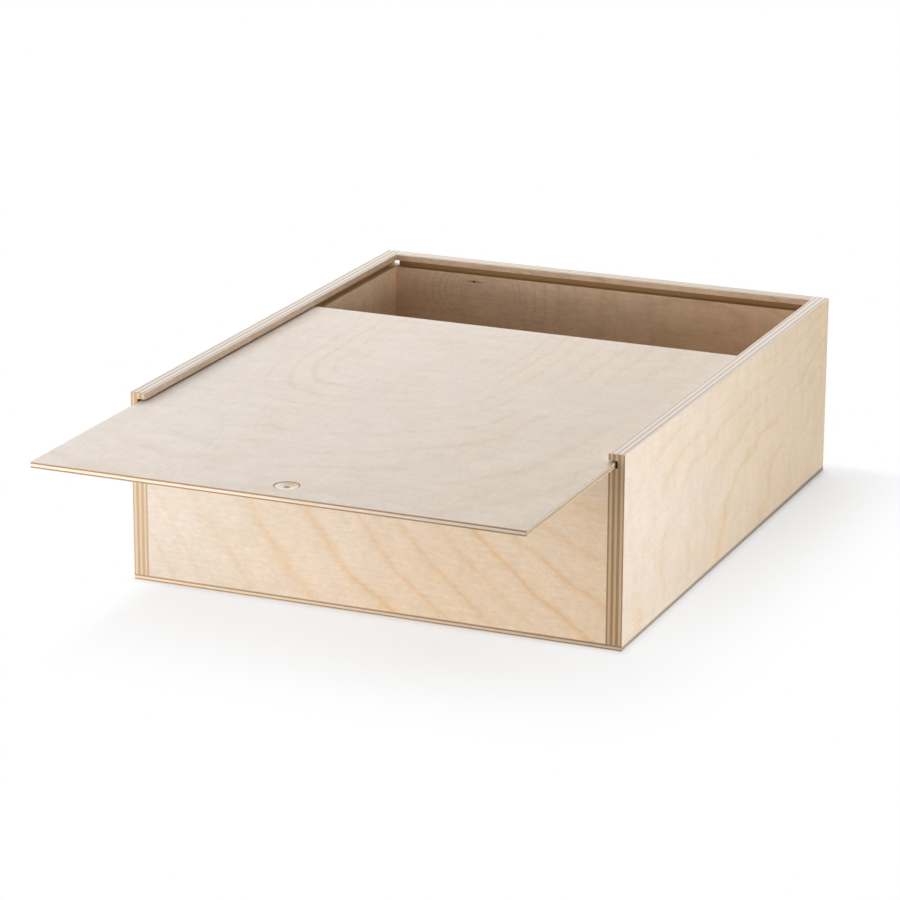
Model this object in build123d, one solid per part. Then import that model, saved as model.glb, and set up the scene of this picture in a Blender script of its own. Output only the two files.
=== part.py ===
from build123d import *
import os

# Sliding lid box for papers and keepsakes, glued up from birch plywood.
#
# Two side walls run the whole length of the box. The front and back walls
# stand between them, and a thin base is glued underneath. A thin lid slides
# in a groove that runs out through both ends of the side walls and on along
# the back wall. The front wall is lower, so the lid slides out over its top.
#
# The origin is the centre of the base's underside. +X points to the right
# as the box is faced, +Y points to the back and +Z points up.

# Outside size of the closed box.
width = 280.0
length = 335.0
height = 105.0

# Sheet thicknesses.
wall_sheet = 9.0
base_sheet = 3.0
lid_sheet = 3.0

# The groove that the lid runs in.
groove_depth = 5.0
lip_height = 3.5
lid_headroom = 1.0
lid_side_gap = 1.5
lid_end_gap = 1.0

# The finger dish, a shallow round hollow near the lid's front edge.
dish_diameter = 14.0
dish_floor = 2.0
dish_inset = 17.5
dish_rim_round = 0.2

# How far the lid stands open as modelled.
lid_open = 118.0

# Sanded edges.
box_arris = 0.5
rim_arris = 0.4
lid_arris = 0.3
lid_corner_round = 0.8

# Sizes that follow from those above.
inner_width = width - 2 * wall_sheet
wall_height = height - base_sheet
groove_height = lid_sheet + lid_headroom
groove_top = height - lip_height
groove_floor = groove_top - groove_height
groove_span = inner_width + 2 * groove_depth
front_height = groove_floor - base_sheet
lid_width = groove_span - 2 * lid_side_gap
lid_length = length - wall_sheet + groove_depth - lid_end_gap
side_wall_x = (width - wall_sheet) / 2
back_wall_y = (length - wall_sheet) / 2
back_face_y = length / 2 - wall_sheet
overcut = 2.0

UPRIGHT = (Align.CENTER, Align.CENTER, Align.MIN)


def sanded_outside():
    """The whole box's outer form, with every outside edge eased."""
    block = Box(width, length, height, align=UPRIGHT)
    return fillet(block.edges(), box_arris)


def rim_bevel():
    """The wedge of wood sanded off the rim's inside edges.

    It widens upwards from the inside faces of the side and back walls. In
    front it runs out past the box, because the low front wall has no rim.
    """
    way_forward = length - wall_sheet + overcut
    foot = Plane.XY.offset(height - rim_arris) * Rectangle(inner_width, way_forward)
    wedge = extrude(foot, rim_arris, taper=-45)
    return Pos(0, back_face_y - way_forward / 2) * wedge


def side_groove():
    """The lid's way through both side walls, open at the front and back."""
    channel = Box(groove_span, length + overcut, groove_height, align=UPRIGHT)
    return Pos(0, 0, groove_floor) * channel


def back_groove():
    """The groove that takes the closed lid's back edge."""
    channel = Box(groove_span, groove_depth, groove_height, align=UPRIGHT)
    return Pos(0, back_face_y + groove_depth / 2, groove_floor) * channel


def base_panel():
    """Three-ply sheet glued under the walls, flush with them all round."""
    sheet = Box(width, length, base_sheet, align=UPRIGHT)
    return sheet & sanded_outside()


def side_wall(side):
    """Seven-ply wall the whole length of the box; side is -1 left, 1 right."""
    board = Box(wall_sheet, length, wall_height, align=UPRIGHT)
    placed = Pos(side * side_wall_x, 0, base_sheet) * board
    return (placed & sanded_outside()) - side_groove() - rim_bevel()


def back_wall():
    """Seven-ply wall between the side walls, as high as they are."""
    board = Box(inner_width, wall_sheet, wall_height, align=UPRIGHT)
    placed = Pos(0, back_wall_y, base_sheet) * board
    return (placed & sanded_outside()) - back_groove() - rim_bevel()


def front_wall():
    """Seven-ply wall between the side walls, as high as the groove's floor."""
    board = Box(inner_width, wall_sheet, front_height, align=UPRIGHT)
    top_edges = board.faces().sort_by(Axis.Z)[-1].edges().filter_by(Axis.X)
    return Pos(0, -back_wall_y, base_sheet) * fillet(top_edges, box_arris)


def finger_dish():
    """The ball that hollows the dish, standing over the lid's top face."""
    dish_radius = dish_diameter / 2
    dish_depth = lid_sheet - dish_floor
    ball_radius = (dish_radius**2 + dish_depth**2) / (2 * dish_depth)
    return Pos(0, 0, dish_floor + ball_radius) * Sphere(ball_radius)


def sliding_lid():
    """Three-ply lid with a finger dish, drawn out by lid_open."""
    sheet = Box(lid_width, lid_length, lid_sheet, align=UPRIGHT)
    sheet = fillet(sheet.edges().filter_by(Axis.Z), lid_corner_round)
    broad_faces = sheet.faces().filter_by(Axis.Z)
    sheet = fillet(broad_faces.edges(), lid_arris)
    sheet -= Pos(0, dish_inset - lid_length / 2) * finger_dish()
    dish_rim = sheet.edges().filter_by(GeomType.CIRCLE).sort_by(Edge.length)[-1]
    sheet = fillet(dish_rim, dish_rim_round)
    front_edge_y = -length / 2 - lid_open
    return Pos(0, front_edge_y + lid_length / 2, groove_floor) * sheet


pieces = {
    "base_panel": base_panel(),
    "left_wall": side_wall(-1),
    "right_wall": side_wall(1),
    "front_wall": front_wall(),
    "back_wall": back_wall(),
    "sliding_lid": sliding_lid(),
}

os.makedirs("parts", exist_ok=True)
for name, solid in pieces.items():
    export_step(solid, f"parts/{name}.step")
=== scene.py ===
import math

import bpy
from mathutils import Matrix, Vector


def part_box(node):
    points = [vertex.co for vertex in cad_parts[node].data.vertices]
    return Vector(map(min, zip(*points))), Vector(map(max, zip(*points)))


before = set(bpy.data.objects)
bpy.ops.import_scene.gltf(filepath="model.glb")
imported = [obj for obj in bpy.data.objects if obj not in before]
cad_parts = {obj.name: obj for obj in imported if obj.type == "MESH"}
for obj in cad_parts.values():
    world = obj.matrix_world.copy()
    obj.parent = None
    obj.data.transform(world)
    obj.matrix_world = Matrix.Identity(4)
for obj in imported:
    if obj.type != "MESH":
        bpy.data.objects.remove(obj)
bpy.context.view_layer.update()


# ---------------------------------------------------------------- base panel
# A thin sheet of three-ply birch plywood, glued under the four walls and
# sanded flush with them. Its sawn edge shows a brown, a pale and a brown ply
# at the front, and a pale, a brown and a pale one along the sides.

MM = 0.001


def colour(tone):
    """An sRGB hex colour as linear red, green, blue and a full alpha."""
    parts = [int(tone[i:i + 2], 16) / 255 for i in (1, 3, 5)]
    return [c / 12.92 if c <= 0.04045 else ((c + 0.055) / 1.055) ** 2.4 for c in parts] + [1]


def add(tree, kind, inputs=(), out=0, stops=None, **settings):
    """Adds a node and gives its output called out, or the node itself if out is None.

    inputs holds a value or a link for each socket, in their order or by number or name, and stops
    a colour ramp's places and shades.
    """
    made = tree.nodes.new("ShaderNode" + kind)
    for name, value in settings.items():
        setattr(made, name, value)
    given = inputs.items() if isinstance(inputs, dict) else enumerate(inputs)
    for socket, value in given:
        if isinstance(value, bpy.types.NodeSocket):
            tree.links.new(value, made.inputs[socket])
        else:
            made.inputs[socket].default_value = value
    if stops:
        ramp = made.color_ramp.elements
        while len(ramp) < len(stops):
            ramp.new(1.0)
        for element, (place, shade) in zip(ramp, stops):
            element.position = place
            element.color = colour(shade) if isinstance(shade, str) else (shade, shade, shade, 1)
    return made if out is None else made.outputs[out]


# Half the width of a glue line, in mm. A real one is some 0.1 mm wide and too fine to show, so it
# is drawn 0.3 mm wide at its foot and half that where it is half as dark.
GLUE = 0.08


def ply_ramps(plies):
    """Two ramps through a sheet: 1 in plies that lie with the face grain and 0 in those across it,
    and 1 on each glue line between two plies."""
    total = sum(plies)
    depth = 0.0
    kinds = []
    lines = [(0.0, 0.0)]
    for count, ply in enumerate(plies):
        with_grain = 1.0 - count % 2
        kinds.append(((depth + GLUE) / total, with_grain))
        depth += ply
        kinds.append(((depth - GLUE) / total, with_grain))
        if count < len(plies) - 1:
            lines.append(((depth - 2 * GLUE) / total, 0.0))
            lines.append((depth / total, 1.0))
            lines.append(((depth + 2 * GLUE) / total, 0.0))
    return kinds, lines


DECIMETRE = 0.1

# Tones and growth lines change over this far either way from a sheet's middle, in decimetres.
HALF_SHEET = 1.4

# How one colour goes over another: blended in, or as a stain that the wood shows through. The two
# colours are a Mix node's sockets 6 and 7, and the mixed one is its output 2.
BLEND = {"data_type": "RGBA"}
STAIN = {"data_type": "RGBA", "blend_type": "MULTIPLY"}


def birch_plywood(name, across, grain, low, plies, face, cuts, growth, middle, line, strength,
                  lines=None, patchy=0.2, drift=(1, 0), fade=(1, 1, 1), hollow=None, skin=0.4,
                  groove=None, wobble=0.4, texture=(1.0, 1.0), knot=None):
    """Sanded birch plywood, as one solid pattern through the sheet.

    across and grain are the axes through the sheet and along its face grain, low is the place of
    its lower face in metres, and plies are their thicknesses in mm. u runs along the face grain
    and v beside it, in decimetres from middle, which is in mm.

    face: two veneer tones for the lower face and two for the upper one, which blend along drift.
    drift: how much of u and how much of v that way is.
    cuts: face plies cut along and across their grain, then core plies cut along and across theirs.
    fade: how light the cuts are at the low end of drift, in the middle and at the high end.
    hollow: tones of plies laid bare more than skin mm deep, by share of half the sheet; in a groove
    they also hold painted shade.
    groove: the heights of its floor and roof, their tone, and how much painted shade greys the lip
    above at the low and the high end of u, below zero if the lip's face looks the low way.
    texture: how plain the fibres are, and how plain the curl and the clouds.
    knot: its place along the grain and beside it, and half its length and half its width, in mm.

    A growth line shows wherever a smooth height over the sheet is a whole number.
    growth: that height's start and terms in u and v; log makes the rings round an eye open out.
    line: what the lines make of the veneer's tone.
    strength: how plain they are at the low and the high end of u.
    patchy: how much of that is left where they are faintest.
    lines: how plain each one is, by its number.
    wobble: how far a line strays, as a share of the way to the next.
    """
    material = bpy.data.materials.new(name)
    material.use_nodes = True
    tree = material.node_tree
    tree.nodes.clear()
    side = 3 - across - grain

    where = add(tree, "TexCoord", out=None)
    place = where.outputs["Object"]
    axes = add(tree, "SeparateXYZ", (place,), None).outputs
    facing = add(tree, "SeparateXYZ", (where.outputs["Normal"],), None).outputs

    def figure(along, beside, through, detail):
        """A figure in the wood, by its length, width and depth in mm, rougher with more detail."""
        cells = [0.0, 0.0, 0.0]
        cells[grain] = 1 / (along * MM)
        cells[side] = 1 / (beside * MM)
        cells[across] = 1 / (through * MM)
        spread = add(tree, "VectorMath", (place, cells), operation="MULTIPLY")
        return add(tree, "TexNoise", {"Vector": spread, "Scale": 1.0, "Detail": detail})

    # A figure lies mostly between these two values.
    faint, full = 0.25, 0.75

    def toned(shade, pattern, low_end, high_end, at_low, at_high):
        """A shade made lighter or darker by a pattern, from its low end to its high end."""
        gain = add(tree, "MapRange", (pattern, low_end, high_end, at_low, at_high))
        return add(tree, "VectorMath", {0: shade, "Scale": gain}, operation="SCALE")

    # The growth height here, which strays slowly and frays finely, as real growth lines do.
    fray = 0.06
    back_u, back_v = (-part * MM / DECIMETRE for part in middle)
    u = add(tree, "Math", (axes[grain], 1 / DECIMETRE, back_u), operation="MULTIPLY_ADD")
    v = add(tree, "Math", (axes[side], 1 / DECIMETRE, back_v), operation="MULTIPLY_ADD")
    power = {"u": u, "v": v}
    height = growth.get("start", 0.0)
    for term, weight in growth.items():
        if term in ("start", "log"):
            continue
        for cut in range(2, len(term) + 1):
            if term[:cut] not in power:
                factors = (power[term[:cut - 1]], power[term[cut - 1]])
                power[term[:cut]] = add(tree, "Math", factors, operation="MULTIPLY")
        height = add(tree, "Math", (power[term], weight, height), operation="MULTIPLY_ADD")
    if "log" in growth:
        height = add(tree, "Math", (height, math.e), operation="LOGARITHM")
        height = add(tree, "Math", (height, growth["log"]), operation="MULTIPLY")
    stray = figure(45.45, 33.33, 33.33, 1.5)
    height = add(tree, "Math", (stray, 2 * wobble, height), operation="MULTIPLY_ADD")
    frayed = figure(11.11, 2.381, 2.381, 2.0)
    height = add(tree, "Math", (frayed, 2 * fray, height), operation="MULTIPLY_ADD")
    height = add(tree, "Math", (height, 0.5 - wobble - fray), operation="ADD")

    # How plain each growth line is. It darkens slowly through a year's wood and ends sharply.
    number = add(tree, "Math", (height,), operation="FLOOR")
    if lines:
        share = add(tree, "Math", (number, 0.5), operation="ADD")
        share = add(tree, "Math", (share, len(lines)), operation="DIVIDE")
        steps = [(count / len(lines), plain) for count, plain in enumerate(lines)]
        each = add(tree, "ValToRGB", (share,), None, steps)
        each.color_ramp.interpolation = "CONSTANT"
        own = each.outputs[0]
    else:
        own = add(tree, "TexWhiteNoise", {"W": number}, noise_dimensions="1D")
        own = add(tree, "MapRange", (own, 0.0, 1.0, 0.25, 1.0))
    year = [(0.15, 0.0), (0.3, 0.12), (0.4, 0.45), (0.47, 1.0),
            (0.52, 0.95), (0.58, 0.35), (0.68, 0.0)]
    drawn = add(tree, "Math", (height,), operation="FRACT")
    drawn = add(tree, "ValToRGB", (drawn,), stops=year)
    drawn = add(tree, "Math", (drawn, own), operation="MULTIPLY")
    plainness = add(tree, "MapRange", (u, -HALF_SHEET, HALF_SHEET, *strength))
    drawn = add(tree, "Math", (drawn, plainness), operation="MULTIPLY")
    patches = figure(71.43, 41.67, 41.67, 1.0)
    patches = add(tree, "MapRange", (patches, 0.38, 0.62, patchy, 1.0))
    drawn = add(tree, "Math", (drawn, patches), operation="MULTIPLY")

    # How deep in the sheet this is. Pressed veneer wanders up to a tenth of a millimetre.
    thick = sum(plies)
    play = 0.1 / thick
    depth = add(tree, "MapRange", (axes[across], low, low + thick * MM, 0.0, 1.0))
    wander = figure(22.22, 22.22, 22.22, 2.0)
    wander = add(tree, "MapRange", (wander, 0.0, 1.0, -play, play))
    pressed = add(tree, "Math", (depth, wander), operation="ADD")
    kinds, glue_lines = ply_ramps(plies)
    with_grain = add(tree, "ValToRGB", (pressed,), stops=kinds)
    glued = add(tree, "ValToRGB", (pressed,), stops=glue_lines)

    # The face veneers: a slow change of tone from end to end, growth lines, and a faint tinge.
    slow = add(tree, "Math", (v, drift[1]), operation="MULTIPLY")
    slow = add(tree, "Math", (u, drift[0], slow), operation="MULTIPLY_ADD")
    slow = add(tree, "MapRange", (slow, -HALF_SHEET, HALF_SHEET, 0.0, 1.0))
    lower_face = add(tree, "Mix", {0: slow, 6: colour(face[0]), 7: colour(face[1])}, 2, **BLEND)
    upper_face = add(tree, "Mix", {0: slow, 6: colour(face[2]), 7: colour(face[3])}, 2, **BLEND)
    upper = add(tree, "Math", (depth, 0.5), operation="GREATER_THAN")
    shade = add(tree, "Mix", {0: upper, 6: lower_face, 7: upper_face}, 2, **BLEND)
    shade = add(tree, "Mix", {0: drawn, 6: shade, 7: colour(line)}, 2, **STAIN)
    tinge = figure(83.33, 41.67, 41.67, 2.0)
    tinge = add(tree, "MapRange", (tinge, 0.35, 0.75, 0.0, 0.25))
    shade = add(tree, "Mix", {0: tinge, 6: shade, 7: colour(line)}, 2, **STAIN)

    # The figure of sanded birch. Real fibres, flecks and pores are a tenth of a millimetre wide and
    # too fine to show, so they are drawn one to two. Curl lies across the grain, in soft bars.
    fibres = figure(28.57, 1.111, 1.111, 3.0)
    flecks = figure(5.882, 1.923, 1.923, 1.5)
    pores = figure(1.667, 1.667, 1.667, 2.0)
    curl = figure(9.091, 20.0, 20.0, 2.5)
    clouds = figure(71.43, 38.46, 38.46, 2.0)
    fine, broad = texture
    for pattern, most in ((fibres, 0.02 * fine), (flecks, 0.03 * fine), (pores, 0.025 * fine),
                          (curl, 0.035 * broad), (clouds, 0.02 * broad)):
        shade = toned(shade, pattern, faint, full, 1 - most, 1 + most)

    # A knot is nearly black, and its stain runs out five times as far along the grain. Both fade
    # out between 0.6 and 1.4 times their own size.
    if knot:
        gap_u = add(tree, "Math", (axes[grain], knot[0] * MM), operation="SUBTRACT")
        gap_u = add(tree, "Math", (gap_u, knot[2] * MM), operation="DIVIDE")
        gap_v = add(tree, "Math", (axes[side], knot[1] * MM), operation="SUBTRACT")
        gap_v = add(tree, "Math", (gap_v, knot[3] * MM), operation="DIVIDE")
        drawn_out = add(tree, "Math", (gap_u, 1 / 5), operation="MULTIPLY")
        marks = ((gap_u, 0.97, "#2A1207", BLEND), (drawn_out, 0.5, "#6A4A34", STAIN))
        for gap, plainest, tone, way in marks:
            ring = add(tree, "CombineXYZ", (gap, gap_v))
            ring = add(tree, "VectorMath", (ring,), "Value", operation="LENGTH")
            near = add(tree, "MapRange", (ring, 1.4, 0.6, 0.0, plainest))
            shade = add(tree, "Mix", {0: near, 6: shade, 7: colour(tone)}, 2, **way)

    # Cut edges: end grain is browner than a cut along the fibres. The streaks that a saw leaves in
    # the plies are a tenth of a millimetre thick, too fine to show, and are drawn 0.7 mm thick.
    end_face = add(tree, "Math", (facing[grain],), operation="ABSOLUTE")
    end_core = add(tree, "Math", (facing[side],), operation="ABSOLUTE")
    face_ply = add(tree, "Mix", {0: end_face, 6: colour(cuts[0]), 7: colour(cuts[1])}, 2, **BLEND)
    core_ply = add(tree, "Mix", {0: end_core, 6: colour(cuts[2]), 7: colour(cuts[3])}, 2, **BLEND)
    cut = add(tree, "Mix", {0: with_grain, 6: core_ply, 7: face_ply}, 2, **BLEND)
    streaks = (figure(250.0, 250.0, 1.429, 0.0), figure(40.0, 8.333, 0.6667, 3.0))
    sawn = add(tree, "Math", streaks, operation="ADD")
    cut = toned(cut, sawn, 0.6, 1.4, 0.92, 1.08)
    cut = toned(cut, glued, 0.0, 1.0, 1.0, 0.85)
    # fade lightens or darkens the cuts along drift. On the base and the lid this is painted light
    # and shade falling off across the box.
    cut = toned(cut, slow, 0.0, 0.5, fade[0], fade[1])
    cut = toned(cut, slow, 0.5, 1.0, 1.0, fade[2] / fade[1])

    # A groove's floor and roof are cut in brown inner plies, and on the right wall their dark brown
    # is also painted shade deep in the slot. The lip's inner face above the groove is greyed with
    # painted shade.
    if groove:
        floor_height, roof_height, groove_plies_and_shade, lip_shade = groove
        spare = 0.5 * MM
        halfway = (floor_height + roof_height) / 2
        reach_up = (roof_height - floor_height) / 2 + spare
        inside = add(tree, "Math", (axes[2], halfway, reach_up), operation="COMPARE")
        level = add(tree, "Math", (facing[2],), operation="ABSOLUTE")
        inside = add(tree, "Math", (inside, level), operation="MULTIPLY")
        cut = add(tree, "Mix", {0: inside, 6: cut, 7: colour(groove_plies_and_shade)}, 2, **BLEND)
        lip = add(tree, "Math", (axes[2], roof_height), operation="GREATER_THAN")
        lip = add(tree, "Math", (lip, facing[across]), operation="MULTIPLY")
        lip_shading = add(tree, "MapRange", (u, -HALF_SHEET, HALF_SHEET, *lip_shade))
        lip = add(tree, "Math", (lip, lip_shading), operation="MULTIPLY")
        shade = add(tree, "Mix", {0: lip, 6: shade, 7: colour("#ECEBEF")}, 2, **STAIN)

    # Inner plies laid bare by a groove or a dish, with the same fibres; in a groove their tones also
    # hold painted shade. They are tan where they slope to the low end of the grain, partly end grain
    # and partly painted shade on the slope turned from the light, and a thin brown ring runs where a
    # dish's rim is steep.
    if hollow:
        under = add(tree, "Math", (depth, 0.5), operation="SUBTRACT")
        under = add(tree, "Math", (under,), operation="ABSOLUTE")
        under = add(tree, "Math", (0.5, under), operation="SUBTRACT")
        sunk = add(tree, "Math", (under, 2.0), operation="MULTIPLY")
        bare = add(tree, "ValToRGB", (sunk,), stops=hollow)
        bare = toned(bare, fibres, faint, full, 0.94, 1.06)
        slope_grain_and_shade = add(tree, "Math", (facing[side], 0.35, facing[grain]), operation="MULTIPLY_ADD")
        slope_grain_and_shade = add(tree, "MapRange", (slope_grain_and_shade, 0.0, -0.2, 0.0, 0.9))
        bare = add(tree, "Mix", {0: slope_grain_and_shade, 6: bare, 7: colour("#D9BC94")}, 2, **STAIN)
        rim = add(tree, "MapRange", (sunk, 0.2, 0.1, 0.0, 1.0))
        steep = add(tree, "Math", (facing[side],), operation="ABSOLUTE")
        steep = add(tree, "MapRange", (steep, 0.05, 0.2, 0.0, 1.0))
        rim = add(tree, "Math", (rim, steep), operation="MULTIPLY")
        bare = add(tree, "Mix", {0: rim, 6: bare, 7: colour("#7E5C44")}, 2, **STAIN)
        laid_bare = add(tree, "Math", (under, skin / thick), operation="GREATER_THAN")
        shade = add(tree, "Mix", {0: laid_bare, 6: shade, 7: bare}, 2, **BLEND)

    # Face veneer shows where the wood looks out of the sheet to within 37 degrees, and cut plies
    # where it turns away by 63 or more. Bare sanded birch gives the eye a matt face with no varnish,
    # one soft broad sheen, and fibres that can just be felt.
    flat = add(tree, "Math", (facing[across],), operation="ABSOLUTE")
    flat = add(tree, "MapRange", (flat, 0.45, 0.8, 0.0, 1.0))
    felt = add(tree, "Math", (flat, 0.25), operation="MULTIPLY")
    relief = add(tree, "Bump", {"Strength": felt, "Distance": 0.05 * MM, "Height": fibres})
    shade = add(tree, "Mix", {0: flat, 6: cut, 7: shade}, 2, **BLEND)
    sanded = {"Base Color": shade, "Roughness": 0.6, "IOR": 1.45, "Normal": relief}
    wood = add(tree, "BsdfPrincipled", sanded)
    add(tree, "OutputMaterial", (wood,), None)
    return material


def dress(node, material):
    """Gives a CAD piece its material in every slot that it has."""
    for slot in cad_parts[node].material_slots:
        slot.material = material


# Its edge gives the eye a thin dark foot under the walls. It darkens towards the back right as
# painted shade, for the table's contact shadow and the light falling off there.
THREE_PLIES = (0.9, 1.2, 0.9)

base_low, base_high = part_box("base_panel")
dress("base_panel", birch_plywood(
    "birch_three_ply_base", across=2, grain=1, low=base_low.z, plies=THREE_PLIES,
    face=("#EBDCC6", "#E6D4BA", "#EBDCC6", "#E6D4BA"), drift=(0.4, 0.6),
    cuts=("#F2E8DA", "#B19272", "#F0D8BC", "#BEA78C"), fade=(1.15, 0.825, 0.5),
    growth=dict(u=1.5, v=4.0, uu=0.6, vv=0.8), middle=(0, 0),
    line="#FAEFE1", strength=(0.4, 0.4)))


# ---------------------------------------------------------------- side walls
# Two boards of nine millimetre, seven-ply birch plywood, as long as the box.
# Their front ends show the plies as brown and tan bands, and their top edges
# are pale with three thin grey lines. A groove for the lid runs right through.

SEVEN_PLIES = (0.9, 1.4, 1.5, 1.4, 1.5, 1.4, 0.9)

# The groove is a millimetre higher than the lid is thick, and the lid lies on its floor.
GROOVE_HEIGHT = 4
# The groove's back shows brown inner plies, darkened with painted shade from the lip above.
GROOVE_PLIES_AND_SHADE = [(0.0, "#9E774B"), (1.0, "#B48D5F")]
groove_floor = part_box("sliding_lid")[0].z
groove_roof = groove_floor + GROOVE_HEIGHT * MM

# The left wall's faces are the plainest, and the floor of its groove is warm and pale.
left_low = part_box("left_wall")[0]
dress("left_wall", birch_plywood(
    "birch_seven_ply_left", across=0, grain=1, low=left_low.x, plies=SEVEN_PLIES,
    face=("#E7D5BB", "#E3CFB1", "#F3DCC0", "#F1D6B7"),
    cuts=("#E4D9CD", "#D0AE8A", "#E4CEB1", "#C0B1A0"),
    hollow=GROOVE_PLIES_AND_SHADE, groove=(groove_floor, groove_roof, "#EBD3AC", (1, 1)),
    growth=dict(u=9.0, v=-2.5, uu=1.2, uv=1.5), middle=(0, 50),
    line="#F5E6D6", strength=(0.2, 0.2), texture=(2.4, 1.8)))

# The right wall's growth lines run slanting, and its groove shows as a dark brown slot: brown inner
# plies darkened with painted shade deep in it.
RIGHT_GROOVE_PLIES_AND_SHADE = [(0.0, "#6A3A1A"), (1.0, "#7A4A26")]
RIGHT_LINES = (0.3, 0.4, 0.6, 0.8, 0.8, 0.7, 1.0, 0.9, 0.4, 0.6, 0.4)

# Its outer face darkens from the front end to the back, a painted falloff of the light along the
# wall.
right_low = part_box("right_wall")[0]
dress("right_wall", birch_plywood(
    "birch_seven_ply_right", across=0, grain=1, low=right_low.x, plies=SEVEN_PLIES,
    face=("#EBD2B6", "#E6C7A8", "#F7E7D6", "#E2CEB2"),
    cuts=("#EDDFD4", "#A98662", "#D2B791", "#C9B8A6"),
    hollow=RIGHT_GROOVE_PLIES_AND_SHADE, groove=(groove_floor, groove_roof, "#7A4A26", (0, 0)),
    growth=dict(start=5.51, u=1.23, v=-3.93, uu=-0.06, uv=-1.25, vv=-4.69,
                uuu=0.25, uuv=0.06, uvv=-0.83, vvv=1.0),
    middle=(0, 50), line="#F9ECD2", strength=(0.68, 0.6), lines=RIGHT_LINES, patchy=0.1,
    wobble=0.7, texture=(1.3, 1.15)))


# ---------------------------------------------------------------- front wall
# A board of the same sheet between the side walls, as low as the groove's
# floor. Its veneer is peeled from the log, so tan growth lines sweep down
# across it from upper left to lower right, over clouds of warmer wood.

FRONT_LINES = (0.3, 0.38, 0.38, 0.38, 0.48, 0.72, 0.5, 0.55, 0.38, 0.95, 0.68, 0.45, 0.3, 0.2)

# Its outer face grows warmer to the right and towards the bottom; the change towards the bottom is
# painted light bounced up from the table.
front_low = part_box("front_wall")[0]
dress("front_wall", birch_plywood(
    "birch_seven_ply_front", across=1, grain=0, low=front_low.y, plies=SEVEN_PLIES,
    face=("#EBDFD1", "#F6DFC2", "#EBD2B6", "#E6C7A8"), drift=(1.0, -0.4),
    cuts=("#F0E5D6", "#C4A27D", "#E0C8AA", "#BEA78C"),
    growth=dict(start=6.24, u=3.97, v=3.02, uu=1.08, uv=3.33, vv=-0.53,
                uuu=-0.25, uuv=0.45, uvv=0.34, vvv=-0.13, uuuu=-0.57, uuuv=-1.94),
    middle=(0, 50), line="#F7E1C0", strength=(1.0, 1.0), lines=FRONT_LINES, patchy=0.55,
    wobble=0.25, texture=(1.6, 0.75)))


# ----------------------------------------------------------------- back wall
# The fourth board, between the side walls and as high as they are, with the
# groove that takes the closed lid. Rings stand round a small dark knot, and
# they run right through the sheet, so they show outside as well.

back_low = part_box("back_wall")[0]
dress("back_wall", birch_plywood(
    "birch_seven_ply_back", across=1, grain=0, low=back_low.y, plies=SEVEN_PLIES,
    face=("#ECCFB3", "#EACBAC", "#EFE0CA", "#E4D0B2"),
    cuts=("#EDE0D4", "#C4A27D", "#E0C8AA", "#CBB9A2"), fade=(1.04, 0.95, 0.86),
    hollow=GROOVE_PLIES_AND_SHADE, groove=(groove_floor, groove_roof, "#CDAA72", (-1, 0)),
    growth=dict(uu=1.0, vv=1.1, uvv=-4.0, vvvv=60.0, uuu=-0.787, uuuu=0.16, log=3.13),
    middle=(-72.6, 87), line="#E6D8CA", strength=(0.35, 1.2), patchy=0.5, wobble=0.35,
    texture=(2.2, 1.9), knot=(-79.8, 93.4, 1.1, 0.55)))


# --------------------------------------------------------------- sliding lid
# A thin three-ply sheet that runs in the groove, with a shallow finger dish
# hollowed in its upper ply near the front edge. It is the greyest sheet, and
# nested arches stand along it.

# From the rim down: a thin brown ring, pale upper ply, and the first glue line as a dark spot.
DISH_TONES = [(0.0, "#8C7050"), (0.1, "#947656"), (0.16, "#EDE1D2"), (0.22, "#FBF1E7"),
              (0.59, "#F2E4D2"), (0.62, "#BFA282"), (0.638, "#583E28")]
LID_PLIES = (0.8, 1.4, 0.8)
LID_LINES = (0.3, 0.3, 0.5, 1.0, 0.7, 0.6, 0.6, 0.9, 0.7, 0.6, 0.7, 0.6, 0.5)

# Its cut edges darken from left to right through fade, as painted light falling off from the lamps
# on the left.
lid_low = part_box("sliding_lid")[0]
dress("sliding_lid", birch_plywood(
    "birch_three_ply_lid", across=2, grain=1, low=lid_low.z, plies=LID_PLIES,
    face=("#E5DAD0", "#DDCDBB", "#E5DAD0", "#DDCDBB"), drift=(0.06, 1.0),
    cuts=("#FFF2D9", "#AE8866", "#FAE6CC", "#E6C298"), fade=(1.04, 1.06, 0.73),
    growth=dict(start=1.0, uuuu=6.1, uuvv=10.2, vvvv=71.6, uuuv=-3.4, log=1.7),
    middle=(-5.5, -31), line="#F2E4CF", strength=(0.6, 0.55), lines=LID_LINES, patchy=0.15,
    hollow=DISH_TONES, skin=0.06, wobble=0.5, texture=(1.45, 1.4)))


# ------------------------------------------------------- floor, light, camera
# A white table. Soft lamps stand behind and to the left, and small low ones
# in front, so the inside stays in shade. The backdrop is white.

half_table = 8.0
corners = [(-half_table, -half_table, 0), (half_table, -half_table, 0),
           (half_table, half_table, 0), (-half_table, half_table, 0)]
floor_mesh = bpy.data.meshes.new("floor")
floor_mesh.from_pydata(corners, [], [(0, 1, 2, 3)])
floor = bpy.data.objects.new("floor", floor_mesh)
bpy.context.scene.collection.objects.link(floor)

# The camera sees plain white, and the floor's own shade only close to the base. The shade reaches
# further in front than at the sides, grows to the back on the right, and is plainest where the
# base touches.
paper = bpy.data.materials.new("white_table")
paper.use_nodes = True
tree = paper.node_tree
tree.nodes.clear()
place = add(tree, "TexCoord", out="Object")
axes = add(tree, "SeparateXYZ", (place,), None).outputs


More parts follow.
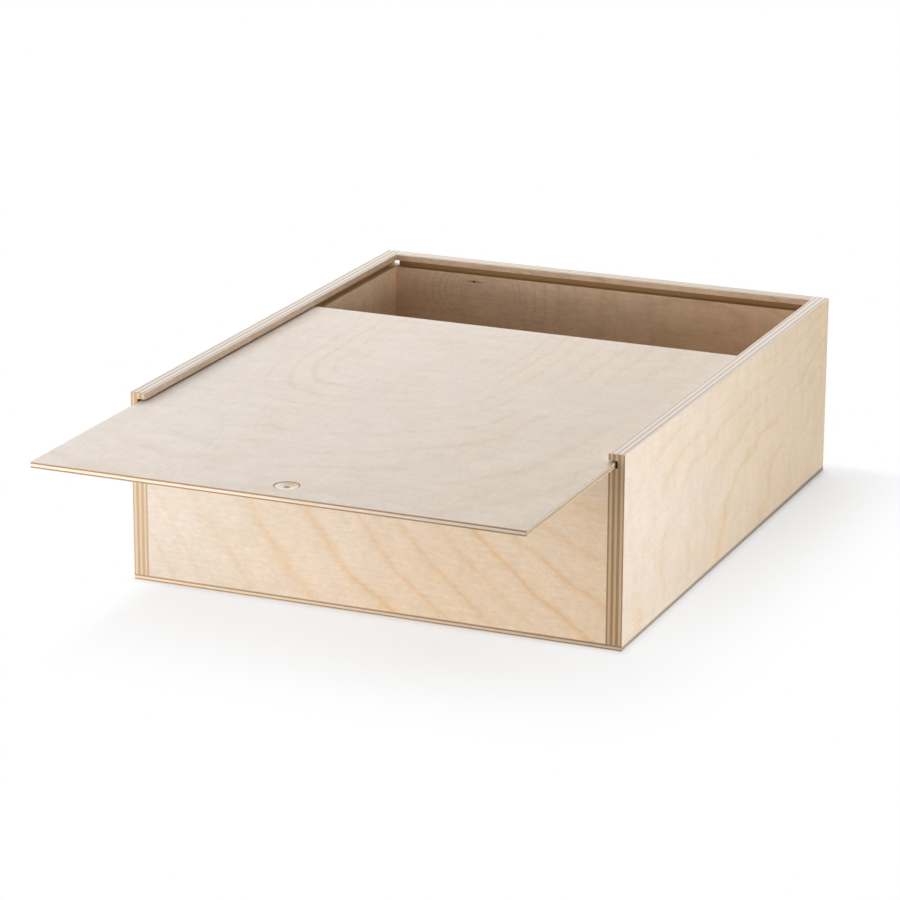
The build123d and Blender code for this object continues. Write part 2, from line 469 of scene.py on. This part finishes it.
def past(corner, sign, quickness):
    """How far the floor lies past a corner of the base, each way by its own quickness."""
    gone = add(tree, "VectorMath", (place, corner), operation="SUBTRACT")
    gone = add(tree, "VectorMath", (gone, (sign, sign, 0)), operation="MULTIPLY")
    gone = add(tree, "VectorMath", (gone, (0, 0, 0)), operation="MAXIMUM")
    return add(tree, "VectorMath", (gone, (*quickness, 0)), operation="MULTIPLY")


def distance(first, second):
    """The length of two such ways together."""
    both = add(tree, "VectorMath", (first, second), operation="ADD")
    return add(tree, "VectorMath", (both,), "Value", operation="LENGTH")


# The shade is gone at its full reach where the quickness is 1, and at an eighth of it where it is 8.
shade_inset, shade_reach, touch_reach = 25 * MM, 150 * MM, 7 * MM
shaded_low = (base_low.x + shade_inset, base_low.y, 0)
away = distance(past(base_high, 1, (1.8, 8.0)), past(shaded_low, -1, (6.0, 1.0)))
gap = distance(past(base_high, 1, (2.0, 2.0)), past(base_low, -1, (1.0, 1.0)))
fall = add(tree, "MapRange", (away, 0.0, shade_reach, 1.0, 0.0), interpolation_type="SMOOTHSTEP")
touch = add(tree, "MapRange", (gap, 0.0, touch_reach, 0.25, 0.0), interpolation_type="SMOOTHSTEP")

# How plain it is: 0.16 at the front right and 0.47 at the back right, with 0.16 more in front.
backwards = add(tree, "MapRange", (axes[1], -160 * MM, 150 * MM, 0.16, 0.47))
leftwards = add(tree, "MapRange", (axes[0], 50 * MM, 140 * MM, 0.16, 0.0))
most = add(tree, "Math", (backwards, leftwards), operation="ADD")
share = add(tree, "Math", (most, fall, touch), operation="MULTIPLY_ADD")
plain = add(tree, "Math", (1.0, share), operation="SUBTRACT")
seen = add(tree, "LightPath", out="Is Camera Ray")
plain = add(tree, "Math", (seen, plain), operation="MULTIPLY")
lit = add(tree, "BsdfDiffuse", {"Color": colour("#EFF1F4")})
white = add(tree, "Emission", {"Color": colour("#FFFFFF"), "Strength": 1.0})
table = add(tree, "MixShader", (plain, lit, white))
add(tree, "OutputMaterial", (table,), None)
floor_mesh.materials.append(paper)

# The backdrop shows as white and in reflections, and gives no light of its own.
world = bpy.data.worlds.new("studio")
bpy.context.scene.world = world
world.use_nodes = True
tree = world.node_tree
tree.nodes.clear()
ray = add(tree, "LightPath", out=None).outputs
seen = add(tree, "Math", (ray["Is Camera Ray"], ray["Is Glossy Ray"]), operation="MAXIMUM")
room = add(tree, "Background", {"Color": colour("#FFFFFF"), "Strength": 0.0})
backdrop = add(tree, "Background", {"Color": colour("#FFFFFF"), "Strength": 1.0})
mixed = add(tree, "MixShader", (seen, room, backdrop))
add(tree, "OutputWorld", (mixed,), None)


def softbox(name, position, target, size, power):
    """A rectangular lamp turned to a target, with places and size in metres, power in watts."""
    lamp = bpy.data.lights.new(name, "AREA")
    lamp.shape = "RECTANGLE"
    lamp.size, lamp.size_y = size
    lamp.energy = power
    holder = bpy.data.objects.new(name, lamp)
    holder.location = position
    holder.rotation_euler = (Vector(target) - Vector(position)).to_track_quat("-Z", "Y").to_euler()
    bpy.context.scene.collection.objects.link(holder)


middle_of_box = (0, 0, 0.05)
softbox("behind_high", (0.0, 2.0, 1.4), middle_of_box, (1.8, 1.0), 14.6)
softbox("behind", (-0.5, 1.6, 1.2), middle_of_box, (1.2, 0.9), 10.4)
softbox("behind_left", (-1.2, 1.0, 0.9), middle_of_box, (0.9, 0.9), 9.8)
softbox("left_high", (-2.0, 0.0, 0.9), middle_of_box, (1.2, 1.0), 13.5)
softbox("above", (0.0, 0.0, 1.6), middle_of_box, (1.5, 1.5), 6.2)
softbox("front_left", (-0.8, -0.6, 0.15), middle_of_box, (0.3, 0.2), 2.2)
softbox("front_high", (-0.35, -0.9, 0.3), middle_of_box, (0.5, 0.4), 2.0)
softbox("front_low", (0.1, -0.9, 0.12), middle_of_box, (0.4, 0.2), 1.0)
softbox("right_low", (1.1, -0.2, 0.12), middle_of_box, (0.4, 0.2), 6.0)

# A long lens from the front right, a little above, and very slightly askew.
sight = bpy.data.cameras.new("camera")
sight.sensor_width = 36.0
sight.lens = 148.94
sight.clip_end = 50
camera = bpy.data.objects.new("camera", sight)
bpy.context.scene.collection.objects.link(camera)
stand = Matrix.Translation((0.75955, -1.84054, 0.66156))
turn = Matrix.Rotation(math.radians(23.147), 4, "Z")
tilt = Matrix.Rotation(math.radians(90 - 17.273), 4, "X")
roll = Matrix.Rotation(math.radians(0.228), 4, "Z")
camera.matrix_world = stand @ turn @ tilt @ roll
bpy.context.scene.camera = camera

bpy.context.scene.view_settings.view_transform = "Standard"
